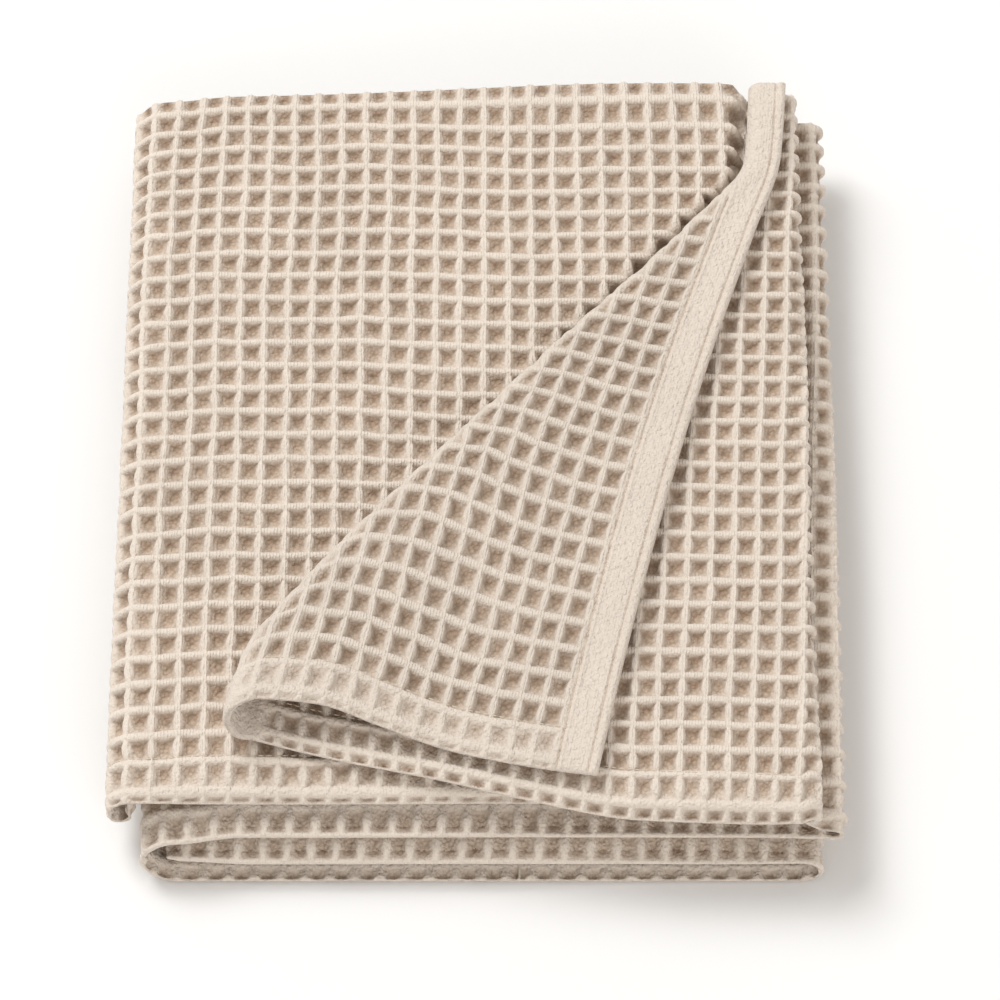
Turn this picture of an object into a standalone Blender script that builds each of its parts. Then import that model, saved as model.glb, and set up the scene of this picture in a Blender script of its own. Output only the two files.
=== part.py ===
"""A waffle weave cotton blanket, folded into a loose pile.

One panel of cloth goes back and forth through eight layers.  A section across the
pile, from side to side, is a chain of straight runs and round folds.  The section
changes a little from the front of the pile to the back, and the cloth is the loft
through those sections.  X points right, Y to the back, Z up.  The origin is at the
middle of the pile on the surface that it lies on.
"""
import math

import bpy
import numpy as np

MM = 0.001               # every size below is in millimetres

CLOTH = 5.6              # thickness of the waffle cloth over its ribs
PITCH = 8.4              # from one layer of the pile to the next
FRONT = -195.4           # front edge of the bottom layer
BACK = 195.0             # back edge of the bottom layer

# Layers of the pile, counted from the surface upwards.
BOTTOM, INNER_LOW, INNER_HIGH, MIDDLE, UNDER_TOP, TOP, RETURN, FLAP = range(8)

# The loose corner of the top: its ridge fold, its hem and how high the ridge stands.
RIDGE_X = ((196, 129.5), (150, 126), (117, 101), (40, 27), (-75, -78), (-115, -105.5), (-160, -116.5))
HEM_X = ((196, 148), (150, 144), (110, 131), (50, 111), (-30, 87.5), (-110, 67.5), (-175, 53))
RIDGE_HEIGHT = ((196, 8.4), (117, 9.5), (0, 13), (-80, 19), (-145, 24))
FLAP_LIES_FROM = 0.6     # share of the flap's width past which it lies on the cloth below

# Side folds in the order in which the cloth passes them.
#   run that leads in, layers joined, side, outermost x (front, back),
#   droop of the fold's tip in degrees (front, back), length that hangs (front, back)
FOLDS = (
    ("return", RETURN, TOP, 1, (154.5, 154.5), (14, 8), (0, 0)),
    ("top", TOP, UNDER_TOP, -1, (-166.3, -166.0), (90, 88), (9, 4)),
    ("under_top", UNDER_TOP, MIDDLE, 1, (167.0, 168.0), (33, 20), (0, 0)),
    ("middle", MIDDLE, BOTTOM, -1, (-151.5, -149.0), (0, 0), (0, 0)),
    ("bottom", BOTTOM, INNER_HIGH, 1, (157.5, 154.0), (0, 0), (0, 0)),
    ("inner_high", INNER_HIGH, INNER_LOW, -1, (-139.6, -134.0), (0, 0), (0, 0)),
)
LAST_RUN = "inner_low"
INNER_END_X = (138.0, 132.0)     # free edge inside the pile (front, back)
DROOP_RADIUS = 10.0              # a drooping fold bends over this radius

# Front and back edges of each run (where it starts, its middle, where it ends) and
# how far its front edge rolls down over the layer below.
#   run, front y, back y, front roll
EDGES = (
    ("top", (-182, -173.5, -175.5), (192, 195.5, 192.5), (5, 7, 2)),
    ("under_top", (-182, -161, -184.5), (186, 185, 187), (2, 1, 3)),
    ("middle", (-184.5, -184, -188), (187, 190, 191), (3, 3, 2)),
    ("bottom", (FRONT, FRONT, FRONT), (BACK, BACK, BACK), (0, 0, 0)),
    ("inner_high", (-193, -191.5, -192), (190, 191, 188), (3, 7, 2.5)),
    ("inner_low", (-187, -179, -179), (185, 184, 184), (1.5, 0, 0)),
)
EDGE_REACH = 32.0                # an edge leaves its middle line this far from a fold
RETURN_FRONT = ((-112, -146), (-72, -156), (-19, -167), (22, -176), (73, -184.5), (153, -187))
FLAP_FRONT = ((-112, -139), (-75, -140.5), (-47, -148), (-10, -159), (30, -167), (53, -170))
RETURN_ROLL = ((-112, 1), (-19, 3), (73, 8.5), (125, 8.5), (150, 6))
FLAP_ROLL = 1.5
LOOSE_BACK_Y = 192.5             # back edge of the flap and of the cloth it folds from
FRONT_ROLL_LENGTH = 15.0
BACK_ROLL_LENGTH = 12.0
BACK_ROLL = 2.0

# The pile is looser at the back, beside the ridge.
LOFT = 15.0                      # how much higher the top lies there
LOFT_LEFT = 0.22                 # share of it at the left
LOFT_FROM_X, LOFT_RUN_X = -140.0, 220.0
LOFT_FROM_Y, LOFT_RUN_Y = -40.0, 220.0
LOFT_DIP = (13.0, 10.0)          # it drops this far before the ridge, over this width,
LOFT_DIP_BELOW = (1.3, 0.6)      # and each layer sooner and wider by these shares of its depth
LOFT_PAST = 0.15                 # share of it that stays past the ridge
WAVE = 0.8                       # height of the soft waves in the upper layers
WAVE_X, WAVE_Y = (47, 90), (83, 61)      # their lengths, each over two pi

# Where the loft has its points: steps along each kind of link, and rows along Y.
STEPS = {"flap": 7, "return": 6, "bottom": 3, "ridge": 8,
         "_over": 2, "_in": 2, "_down": 1, "_up": 1, "_tip": 6}
RIDGE_STEPS = (-33, -25, -18, -13, -9.5, -6.5, -3)     # points of a run, from the ridge
END_STEPS = (16, 32)                      # and from its own ends
LEAST_STEP = 2.5
ROLL_STATIONS = (0, 3, 6.5, 10.5, 15)     # distances of the rows that shape an edge
MIDDLE_STATIONS = 11
EDGE_SAMPLES = 41                         # points of each run at which its edges are worked out
JUST_UNDER = 1e-6                         # keeps a place on its own link


def soft(t):
    """Smooth step from 0 to 1."""
    t = np.clip(t, 0.0, 1.0)
    return t * t * (3 - 2 * t)


def along(table, place):
    """Value at a place on the smooth curve through a table's rows (place, value)."""
    rows = np.array(sorted(table), float)
    x, value = rows[:, 0], rows[:, 1]
    slope = np.diff(value) / np.diff(x)
    tangent = np.concatenate([slope[:1], np.zeros(len(x) - 2), slope[-1:]])
    same_way = slope[:-1] * slope[1:] > 0
    both = np.where(same_way, slope[:-1] + slope[1:], 1.0)
    tangent[1:-1] = np.where(same_way, 2 * slope[:-1] * slope[1:] / both, 0.0)
    place = np.clip(place, x[0], x[-1])
    k = np.clip(np.searchsorted(x, place) - 1, 0, len(x) - 2)
    h = x[k + 1] - x[k]
    t = (place - x[k]) / h
    start = (1 + 2 * t) * (1 - t) ** 2 * value[k] + t * (1 - t) ** 2 * h * tangent[k]
    return start + t * t * (3 - 2 * t) * value[k + 1] + t * t * (t - 1) * h * tangent[k + 1]


def front_to_back(pair, y):
    """A size that changes smoothly from the front of the pile to the back."""
    return pair[0] + (pair[1] - pair[0]) * soft((y - FRONT) / (BACK - FRONT))


def height(layer):
    """Height of a layer's middle surface."""
    return CLOTH / 2 + PITCH * layer


def chain(y):
    """The section at y: the hem's x and the links (name, length, signed radius or None).

    A positive radius turns left.  The cloth starts at the flap's hem, heading left.
    """
    links = []

    def line(name, length):
        links.append((name, length, None))

    def arc(name, radius, angle):
        links.append((name, radius * np.abs(angle), np.where(angle < 0, -radius, radius)))

    hem = along(HEM_X, y)
    ridge = along(RIDGE_HEIGHT, y) / 2
    x = along(RIDGE_X, y) + CLOTH / 2 + ridge
    line("flap", hem - x)
    arc("ridge", ridge, np.full_like(y, math.pi))
    for name, layer, next_layer, side, outer, droop, hang in FOLDS:
        rise = PITCH * abs(next_layer - layer)
        tilt = np.radians(front_to_back(droop, y))
        hanging = front_to_back(hang, y)
        bend = DROOP_RADIUS if droop[0] else 0.0
        turn = side * (1 if next_layer > layer else -1)
        reach = (rise + CLOTH) / 2 + bend * np.sin(tilt) + hanging * np.cos(tilt)
        fold = front_to_back(outer, y) - side * reach
        line(name, np.abs(fold - x))
        if bend:
            arc(name + "_over", np.full_like(y, bend + rise / 2), turn * tilt)
        if hang[0]:
            line(name + "_down", hanging)
        arc(name + "_tip", np.full_like(y, rise / 2), np.full_like(y, turn * math.pi))
        if hang[0]:
            line(name + "_up", hanging)
        if bend:
            arc(name + "_in", np.full_like(y, bend - rise / 2), -turn * tilt)
        x = fold
    line(LAST_RUN, front_to_back(INNER_END_X, y) - x)
    return hem, links


def walk(x, z, heading, distance, radius):
    """Where a step along a straight or round link ends, and its new heading."""
    if radius is None:
        return x + distance * np.cos(heading), z + distance * np.sin(heading), heading
    turned = heading + distance / radius
    x = x + radius * (np.sin(turned) - np.sin(heading))
    return x, z - radius * (np.cos(turned) - np.cos(heading)), turned


def section(y, place):
    """x and z of the cloth's middle surface at y, at a place along the chain.

    The place is a link's number plus the share of that link's length.
    """
    hem, links = chain(y)
    x, heading = hem, np.full_like(y, math.pi)
    z = height(RETURN) + along(RIDGE_HEIGHT, y)
    link_of = np.clip(np.floor(place), 0, len(links) - 1)
    found_x, found_z = np.zeros_like(y), np.zeros_like(y)
    for number, (name, length, radius) in enumerate(links):
        x_here, z_here, _ = walk(x, z, heading, (place - link_of) * length, radius)
        found_x = np.where(link_of == number, x_here, found_x)
        found_z = np.where(link_of == number, z_here, found_z)
        x, z, heading = walk(x, z, heading, length, radius)
    return found_x, found_z


LINK_NAMES = [link[0] for link in chain(np.zeros(1))[1]]


def run_edge(values, share, length):
    """An edge's y along a run: its middle line, and its own ends near the folds."""
    start, middle, end = values
    from_start = 1 - soft(share * length / EDGE_REACH)
    from_end = 1 - soft((1 - share) * length / EDGE_REACH)
    return middle + (start - middle) * from_start + (end - middle) * from_end


def edges(place):
    """Front y, back y and front roll of the cloth at places along the chain."""
    shares = np.linspace(0, 1 - JUST_UNDER, EDGE_SAMPLES)
    front_row = np.full(EDGE_SAMPLES, float(FLAP_FRONT[-1][1]))
    _, links = chain(front_row)
    known = []
    for number, name in enumerate(LINK_NAMES):
        at = number + shares
        if name == "flap":
            x, _ = section(front_row, at)
            known.append((at, along(FLAP_FRONT, x), shares * 0 + LOOSE_BACK_Y, shares * 0 + FLAP_ROLL))
        elif name == "return":
            x, _ = section(front_row, at)
            known.append((at, along(RETURN_FRONT, x), shares * 0 + LOOSE_BACK_Y, along(RETURN_ROLL, x)))
        for run, *values in EDGES:
            if run == name:
                known.append([at] + [run_edge(value, shares, links[number][1][0]) for value in values])
    at, front, back, roll = (np.concatenate(column) for column in zip(*known))
    return np.interp(place, at, front), np.interp(place, at, back), np.interp(place, at, roll)


def settle(x, y, z, place):
    """The pile's own softness: the flap lies down, the back is lofted, the top waves."""
    ridge_x = along(RIDGE_X, y)
    ridge_height = along(RIDGE_HEIGHT, y)
    ridge_centre = ridge_x + CLOTH / 2 + ridge_height / 2
    across = (x - ridge_centre) / (along(HEM_X, y) - ridge_centre)
    pressed = 1 - (1 - PITCH / ridge_height) * soft(across / FLAP_LIES_FROM)
    lying = height(RETURN) + (z - height(RETURN)) * pressed
    z = np.where(place < 1, lying, z)

    pile_top = height(TOP)
    depth = np.clip(pile_top - z, 0, pile_top)
    dip, dip_width = (LOFT_DIP[k] + LOFT_DIP_BELOW[k] * depth for k in (0, 1))
    before_ridge = 1 - (1 - LOFT_PAST) * soft((x - ridge_x + dip) / dip_width)
    to_right = LOFT_LEFT + (1 - LOFT_LEFT) * soft((x - LOFT_FROM_X) / LOFT_RUN_X)
    loft = LOFT * to_right * soft((y - LOFT_FROM_Y) / LOFT_RUN_Y)
    z = z + loft * before_ridge * np.clip(z / pile_top, 0, 1)

    lifted = np.clip((z - height(BOTTOM)) / pile_top, 0, 1)
    waves = np.sin(x / WAVE_X[0] + y / WAVE_Y[0]) * np.cos(y / WAVE_Y[1] - x / WAVE_X[1])
    return z + WAVE * lifted * waves


def cloth_point(place, step, depth):
    """Middle surface at a place along the chain.

    depth runs from 0 at the front edge to 1 at the back edge, and step is a distance
    from there in millimetres, for the rows that shape an edge's roll.
    """
    front, back, roll = edges(place)
    y = front + (back - front) * depth + step
    x, z = section(y, place)
    z = settle(x, y, z, place)
    front_share = np.clip(1 - (y - front) / FRONT_ROLL_LENGTH, 0, 1)
    back_share = np.clip(1 - (back - y) / BACK_ROLL_LENGTH, 0, 1)
    z = z - roll * front_share ** 2 - np.minimum(roll, BACK_ROLL) * back_share ** 2
    return np.stack([x, y, z], axis=-1)


def run_shares(y, number):
    """Shares of a lower run's length where it has points: closer at the ridge and ends."""
    x, _ = section(np.full(2, float(y)), np.array([number, number + 1 - JUST_UNDER]))
    left, right = min(x), max(x)
    found = [left] + [left + step for step in END_STEPS] + [right - step for step in END_STEPS]
    found += [float(along(RIDGE_X, y)) + step for step in RIDGE_STEPS]
    found += [left + (right - left) * third / 3 for third in (1, 2)]
    found = np.clip(np.sort(found), left, right - LEAST_STEP)
    for k in range(1, len(found)):
        found[k] = max(found[k], found[k - 1] + LEAST_STEP)
    for k in reversed(range(len(found))):
        found[k] = min(found[k], right - LEAST_STEP * (len(found) - k))
    shares = (found - left) / (right - left)
    return shares if x[0] < x[1] else np.append(0.0, 1 - shares[:0:-1])


def places(step, depth):
    """Places along the chain where the loft has a point in the row at this depth and step."""
    found = []
    for number, name in enumerate(LINK_NAMES):
        steps = STEPS.get(name) or STEPS.get("_" + name.rsplit("_", 1)[-1])
        if steps is None:
            front, back, _ = edges(number + 0.5)
            shares = run_shares(front + (back - front) * depth + step, number)
        else:
            shares = np.arange(steps) / steps
        found += list(number + shares)
    return np.array(found + [len(LINK_NAMES) - JUST_UNDER])


def cotton():
    """Natural unbleached cotton."""
    material = bpy.data.materials.new("cotton")
    material.use_nodes = True
    shader = material.node_tree.nodes["Principled BSDF"]
    shader.inputs["Base Color"].default_value = (0.66, 0.56, 0.45, 1.0)
    shader.inputs["Roughness"].default_value = 0.9
    shader.inputs["Metallic"].default_value = 0.0
    return material


def blanket():
    """The cloth as one sheet through all the layers, given its thickness by Solidify."""
    rows = [(step, 0.0) for step in ROLL_STATIONS]
    inner = (np.arange(MIDDLE_STATIONS) + 1) / (MIDDLE_STATIONS + 1)
    margin = ROLL_STATIONS[-1] / (BACK - FRONT)
    rows += [(0.0, margin + (1 - 2 * margin) * share) for share in inner]
    rows += [(-step, 1.0) for step in reversed(ROLL_STATIONS)]
    points = [cloth_point(places(step, depth), step, depth) for step, depth in rows]
    count = len(points[0])
    vertices = np.concatenate(points) * MM
    faces = []
    for row in range(len(rows) - 1):
        for k in range(count - 1):
            first = row * count + k
            faces.append((first, first + 1, first + count + 1, first + count))
    mesh = bpy.data.meshes.new("blanket")
    mesh.from_pydata(vertices.tolist(), [], faces)
    mesh.shade_smooth()
    sheet = bpy.data.objects.new("blanket", mesh)
    thickness = sheet.modifiers.new("cloth thickness", "SOLIDIFY")
    thickness.thickness = CLOTH * MM
    thickness.offset = 0.0
    thickness.use_even_offset = True
    sheet.data.materials.append(cotton())
    return sheet


for old in list(bpy.data.objects):
    bpy.data.objects.remove(old, do_unlink=True)
folder = bpy.data.collections.new("waffle_blanket")
bpy.context.scene.collection.children.link(folder)
folder.objects.link(blanket())
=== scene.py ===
# %% [markdown]
# # A waffle weave cotton blanket, folded into a loose pile
#
# The blanket is one panel of waffle weave.  It goes back and forth through eight layers,
# and one corner of the top is turned back over itself, so that its hem runs aslant.
# The frame that is loaded here holds the solid of that pile.  This script gives it its
# looks: the ribs and pits of the weave, the hems, the stitching and the cotton itself.
# Sizes are in millimetres, X points right, Y to the back and Z up.

# %% Load the frame
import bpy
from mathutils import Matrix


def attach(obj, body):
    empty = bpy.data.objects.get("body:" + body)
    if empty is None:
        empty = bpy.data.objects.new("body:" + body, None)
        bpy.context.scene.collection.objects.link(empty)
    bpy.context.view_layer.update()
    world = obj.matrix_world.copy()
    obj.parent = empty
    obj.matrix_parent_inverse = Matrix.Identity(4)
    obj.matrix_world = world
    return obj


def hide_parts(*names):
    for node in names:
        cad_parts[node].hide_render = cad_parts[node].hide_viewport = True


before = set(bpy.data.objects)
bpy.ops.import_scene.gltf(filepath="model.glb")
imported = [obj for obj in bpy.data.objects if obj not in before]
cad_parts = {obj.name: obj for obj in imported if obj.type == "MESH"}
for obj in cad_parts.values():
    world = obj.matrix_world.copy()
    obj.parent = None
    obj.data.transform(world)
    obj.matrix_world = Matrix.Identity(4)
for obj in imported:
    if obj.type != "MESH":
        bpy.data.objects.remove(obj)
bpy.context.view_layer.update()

import math

import bpy
import numpy as np

MM = 0.001


def deselect():
    """Leave nothing selected, as an operator acts on all that is."""
    bpy.ops.object.select_all(action="DESELECT")


deselect()

# %% [markdown]
# ## Camera
# The photograph looks down on the pile from the front, 62 degrees above the surface,
# through a long lens.  A long lens keeps the far edge nearly as wide as the near one.
# The operator makes the camera at its place, and only the lens is set afterwards.

# %% Camera
ELEVATION = 62.0
FOCAL_LENGTH = 161.75
CAMERA_PLACE = (11.0, -992.6, 1867.0)


def camera():
    """The camera at the photograph's viewing angle."""
    place = [size * MM for size in CAMERA_PLACE]
    bpy.ops.object.camera_add(location=place, rotation=(math.radians(90 - ELEVATION), 0, 0))
    eye = bpy.context.object
    eye.name = "camera"
    eye.data.sensor_width = 36.0
    eye.data.lens = FOCAL_LENGTH
    bpy.context.scene.camera = eye
    deselect()


camera()
print("camera at", CAMERA_PLACE, "and", ELEVATION, "degrees up")

# %% [markdown]
# ## The section of the pile
# The blanket lies as one long strip seen from the front: straight runs of cloth joined by
# round folds, like a path walked by a turtle.  A sheet laid on this path has the true
# thickness of the pile everywhere, and a length measured along it is a length of cloth,
# so the weave can be measured out along it as on a loom.

# %% Sizes of the pile
CLOTH = 5.6  # thickness of the waffle cloth over its ribs
PITCH = 8.4  # from one layer of the pile to the next
FRONT = -195.4  # front edge of the bottom layer
BACK = 195.0  # back edge of the bottom layer

# Layers of the pile, counted from the surface upwards.
BOTTOM, INNER_LOW, INNER_HIGH, MIDDLE, UNDER_TOP, TOP, RETURN, FLAP = range(8)

# The loose corner of the top: (y, x) of its ridge fold and hem, (y, height) of the ridge.
RIDGE_X = ((196, 129.5), (150, 126), (117, 101), (40, 27), (-75, -78), (-115, -105.5), (-160, -116.5))
HEM_X = ((196, 148), (150, 144), (110, 131), (50, 111), (-30, 87.5), (-110, 67.5), (-175, 53))
RIDGE_HEIGHT = ((196, 8.4), (117, 9.5), (0, 13), (-80, 19), (-145, 24))
FLAP_LIES_FROM = 0.6  # share of the flap's width past which it lies on the cloth below

# Side folds in the order in which the cloth passes them.
#   run that leads in, layers joined, side, outermost x (front, back),
#   droop of the fold's tip in degrees (front, back), length that hangs (front, back)
FOLDS = (
    ("return", RETURN, TOP, 1, (154.5, 154.5), (14, 8), (0, 0)),
    ("top", TOP, UNDER_TOP, -1, (-166.3, -166.0), (90, 88), (9, 4)),
    ("under_top", UNDER_TOP, MIDDLE, 1, (167.0, 168.0), (33, 20), (0, 0)),
    ("middle", MIDDLE, BOTTOM, -1, (-151.5, -149.0), (0, 0), (0, 0)),
    ("bottom", BOTTOM, INNER_HIGH, 1, (157.5, 154.0), (0, 0), (0, 0)),
    ("inner_high", INNER_HIGH, INNER_LOW, -1, (-139.6, -134.0), (0, 0), (0, 0)),
)
LAST_RUN = "inner_low"
INNER_END_X = (138.0, 132.0)  # free edge inside the pile (front, back)
DROOP_RADIUS = 10.0  # a drooping fold bends over this radius

# Front and back edges of each run (where it starts, its middle, where it ends) and
# how far its front edge rolls down over the layer below.
#   run, front y, back y, front roll
EDGES = (
    ("top", (-182, -173.5, -175.5), (192, 195.5, 192.5), (5, 7, 2)),
    ("under_top", (-169, -161, -184.5), (186, 185, 187), (2, 1, 3)),
    ("middle", (-184.5, -184, -188), (187, 190, 191), (3, 3, 2)),
    ("bottom", (FRONT, FRONT, FRONT), (BACK, BACK, BACK), (0, 0, 0)),
    ("inner_high", (-193, -191.5, -192), (190, 191, 188), (3, 7, 2.5)),
    ("inner_low", (-187, -179, -179), (185, 184, 184), (1.5, 0, 0)),
)
EDGE_REACH = 32.0  # an edge leaves its middle line this far from a fold
RETURN_FRONT = ((-112, -146), (-72, -156), (-19, -167), (22, -176), (73, -184.5), (153, -187))
FLAP_FRONT = ((-112, -139), (-75, -140.5), (-47, -148), (-10, -159), (30, -167), (53, -170))
RETURN_ROLL = ((-112, 1), (-19, 3), (73, 8.5), (125, 8.5), (150, 6))
FLAP_ROLL = 1.5
LOOSE_BACK_Y = 192.5  # back edge of the flap and of the cloth it folds from
FRONT_ROLL_LENGTH = 15.0
BACK_ROLL_LENGTH = 12.0
BACK_ROLL = 2.0

# The pile is looser at the back, beside the ridge.
LOFT = 15.0  # how much higher the top lies there
LOFT_LEFT = 0.22  # share of it at the left
LOFT_FROM_X, LOFT_RUN_X = -140.0, 220.0
LOFT_FROM_Y, LOFT_RUN_Y = -40.0, 220.0
LOFT_DIP = (7.5, 7.0)  # it drops this far before the ridge, over this width,
LOFT_DIP_BELOW = (1.3, 0.6)  # and each layer sooner and wider by these shares of its depth
LOFT_PAST = 0.15  # share of it that stays past the ridge
WAVE = 0.8  # height of the soft waves in the upper layers
WAVE_X, WAVE_Y = (47, 90), (83, 61)  # their lengths, each over two pi
EDGE_SAMPLES = 41  # points of each run at which its edges are worked out
SMALL = 1e-6


# %% Curves through a few points
def soft(t):
    """Smooth step from 0 to 1."""
    t = np.clip(t, 0.0, 1.0)
    return t * t * (3 - 2 * t)


def along(table, place):
    """Value at a place on the smooth curve through a table's rows (place, value)."""
    rows = np.array(sorted(table), float)
    x, value = rows[:, 0], rows[:, 1]
    slope = np.diff(value) / np.diff(x)
    tangent = np.concatenate([slope[:1], np.zeros(len(x) - 2), slope[-1:]])
    same_way = slope[:-1] * slope[1:] > 0
    both = np.where(same_way, slope[:-1] + slope[1:], 1.0)
    tangent[1:-1] = np.where(same_way, 2 * slope[:-1] * slope[1:] / both, 0.0)
    place = np.clip(place, x[0], x[-1])
    k = np.clip(np.searchsorted(x, place) - 1, 0, len(x) - 2)
    h = x[k + 1] - x[k]
    t = (place - x[k]) / h
    start = (1 + 2 * t) * (1 - t) ** 2 * value[k] + t * (1 - t) ** 2 * h * tangent[k]
    return start + t * t * (3 - 2 * t) * value[k + 1] + t * t * (t - 1) * h * tangent[k + 1]


def front_to_back(pair, y):
    """A size that changes smoothly from the front of the pile to the back."""
    return pair[0] + (pair[1] - pair[0]) * soft((y - FRONT) / (BACK - FRONT))


def height(layer):
    """Height of a layer's middle surface."""
    return CLOTH / 2 + PITCH * layer


# %% The path of the cloth from side to side
def chain(y):
    """The section at y: the hem's x and the links (name, length, signed radius or None).

    A positive radius turns left.  The cloth starts at the flap's hem, heading left.
    """
    links = []

    def line(name, length):
        links.append((name, length, None))

    def arc(name, radius, angle):
        links.append((name, radius * np.abs(angle), np.where(angle < 0, -radius, radius)))

    hem = along(HEM_X, y)
    ridge = along(RIDGE_HEIGHT, y) / 2
    x = along(RIDGE_X, y) + CLOTH / 2 + ridge
    line("flap", hem - x)
    arc("ridge", ridge, np.full_like(y, math.pi))
    for name, layer, next_layer, side, outer, droop, hang in FOLDS:
        rise = PITCH * abs(next_layer - layer)
        tilt = np.radians(front_to_back(droop, y))
        hanging = front_to_back(hang, y)
        bend = DROOP_RADIUS if droop[0] else 0.0
        turn = side * (1 if next_layer > layer else -1)
        reach = (rise + CLOTH) / 2 + bend * np.sin(tilt) + hanging * np.cos(tilt)
        fold = front_to_back(outer, y) - side * reach
        line(name, np.abs(fold - x))
        if bend:
            arc(name + "_over", np.full_like(y, bend + rise / 2), turn * tilt)
        if hang[0]:
            line(name + "_down", hanging)
        arc(name + "_tip", np.full_like(y, rise / 2), np.full_like(y, turn * math.pi))
        if hang[0]:
            line(name + "_up", hanging)
        if bend:
            arc(name + "_in", np.full_like(y, bend - rise / 2), -turn * tilt)
        x = fold
    line(LAST_RUN, front_to_back(INNER_END_X, y) - x)
    return hem, links


LINK_NAMES = [link[0] for link in chain(np.zeros(1))[1]]
FREE_END = "free end"


def start_of(name, y):
    """Length of cloth from the flap's hem to where a link starts, or to the free end."""
    links = chain(y)[1]
    count = len(links) if name == FREE_END else LINK_NAMES.index(name)
    return sum(link[1] for link in links[:count])


def walk(x, z, heading, distance, radius):
    """Where a step along a straight or round link ends, and its new heading."""
    if radius is None:
        return x + distance * np.cos(heading), z + distance * np.sin(heading), heading
    turned = heading + distance / radius
    x = x + radius * (np.sin(turned) - np.sin(heading))
    return x, z - radius * (np.cos(turned) - np.cos(heading)), turned


def on_section(y, length):
    """x, z and place of the middle surface, a length of cloth away from the flap's hem.

    The place is a link's number plus the share of that link's length.
    """
    hem, links = chain(y)
    x, heading = hem, np.full_like(y, math.pi)
    z = CLOTH / 2 + PITCH * RETURN + along(RIDGE_HEIGHT, y)
    place = np.zeros_like(y)
    for name, link_length, radius in links:
        step = np.clip(length, 0, link_length)
        x, z, heading = walk(x, z, heading, step, radius)
        place = place + step / link_length
        length = length - link_length
    return x, z, place


print(len(LINK_NAMES), "links of cloth")


# %% Edges and softness of the pile
def run_edge(values, share, length):
    """An edge's y along a run: its middle line, and its own ends near the folds."""
    start, middle, end = values
    from_start = 1 - soft(share * length / EDGE_REACH)
    from_end = 1 - soft((1 - share) * length / EDGE_REACH)
    return middle + (start - middle) * from_start + (end - middle) * from_end


def edge_table():
    """Places along the chain with the front y, back y and front roll of the cloth there."""
    shares = np.linspace(0, 1 - SMALL, EDGE_SAMPLES)
    front_row = np.full(EDGE_SAMPLES, float(FLAP_FRONT[-1][1]))
    links = chain(front_row)[1]
    known = []
    for number, name in enumerate(LINK_NAMES):
        at = number + shares
        length = links[number][1]
        x = on_section(front_row, start_of(name, front_row) + shares * length)[0]
        if name == "flap":
            known.append((at, along(FLAP_FRONT, x), shares * 0 + LOOSE_BACK_Y, shares * 0 + FLAP_ROLL))
        elif name == "return":
            known.append((at, along(RETURN_FRONT, x), shares * 0 + LOOSE_BACK_Y, along(RETURN_ROLL, x)))
        for run, *values in EDGES:
            if run == name:
                known.append([at] + [run_edge(value, shares, length[0]) for value in values])
    return [np.concatenate(column) for column in zip(*known)]


EDGE_TABLE = edge_table()


def edges(place):
    """Front y, back y and front roll of the cloth at places along the chain."""
    at, *values = EDGE_TABLE
    return [np.interp(place, at, value) for value in values]


def settle(x, y, z, place):
    """The pile's own softness: the flap lies down, the back is lofted, the top waves."""
    ridge_x = along(RIDGE_X, y)
    ridge_height = along(RIDGE_HEIGHT, y)
    ridge_centre = ridge_x + CLOTH / 2 + ridge_height / 2
    across = (x - ridge_centre) / (along(HEM_X, y) - ridge_centre)
    pressed = 1 - (1 - PITCH / ridge_height) * soft(across / FLAP_LIES_FROM)
    lying = height(RETURN) + (z - height(RETURN)) * pressed
    z = np.where(place < 1, lying, z)

    pile_top = height(TOP)
    depth = np.clip(pile_top - z, 0, pile_top)
    dip, dip_width = (LOFT_DIP[k] + LOFT_DIP_BELOW[k] * depth for k in (0, 1))
    before_ridge = 1 - (1 - LOFT_PAST) * soft((x - ridge_x + dip) / dip_width)
    to_right = LOFT_LEFT + (1 - LOFT_LEFT) * soft((x - LOFT_FROM_X) / LOFT_RUN_X)
    loft = LOFT * to_right * soft((y - LOFT_FROM_Y) / LOFT_RUN_Y)
    z = z + loft * before_ridge * np.clip(z / pile_top, 0, 1)

    lifted = np.clip((z - height(BOTTOM)) / pile_top, 0, 1)
    waves = np.sin(x / WAVE_X[0] + y / WAVE_Y[0]) * np.cos(y / WAVE_Y[1] - x / WAVE_X[1])
    return z + WAVE * lifted * waves


def middle(y, length, edge):
    """Points of the middle surface, and their places along the chain."""
    front, back, roll = edge
    x, z, place = on_section(y, length)
    z = settle(x, y, z, place)
    front_share = np.clip(1 - (y - front) / FRONT_ROLL_LENGTH, 0, 1)
    back_share = np.clip(1 - (back - y) / BACK_ROLL_LENGTH, 0, 1)
    z = z - roll * front_share ** 2 - np.minimum(roll, BACK_ROLL) * back_share ** 2
    return np.stack([x, y, z], axis=-1), place


def middle_and_normal(y, length, edge, step=0.5):
    """The middle surface with its normal, which points up where the cloth heads left."""
    point, place = middle(y, length, edge)
    onward = middle(y, length + step, edge)[0] - middle(y, length - step, edge)[0]
    backward = middle(y + step, length, edge)[0] - middle(y - step, length, edge)[0]
    normal = np.cross(backward, onward)
    return point, normal / np.linalg.norm(normal, axis=-1, keepdims=True), place


# %% [markdown]
# ## The waffle weave
# In a waffle weave some threads float over their neighbours and pull the cloth up into
# square pits with raised walls.  Both faces look alike, moved by half a cell.  Here the
# ribs down the cloth are pairs of long floats, wide in the middle of a cell and pinched
# where they dive under the ribs that run across, which are lower and flatter.  The form
# is a height over the middle surface, worked out from the place within a cell, so that it
# bends over each fold with the cloth.

# %% Unevenness
NOISE_SIZE = 61


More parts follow.
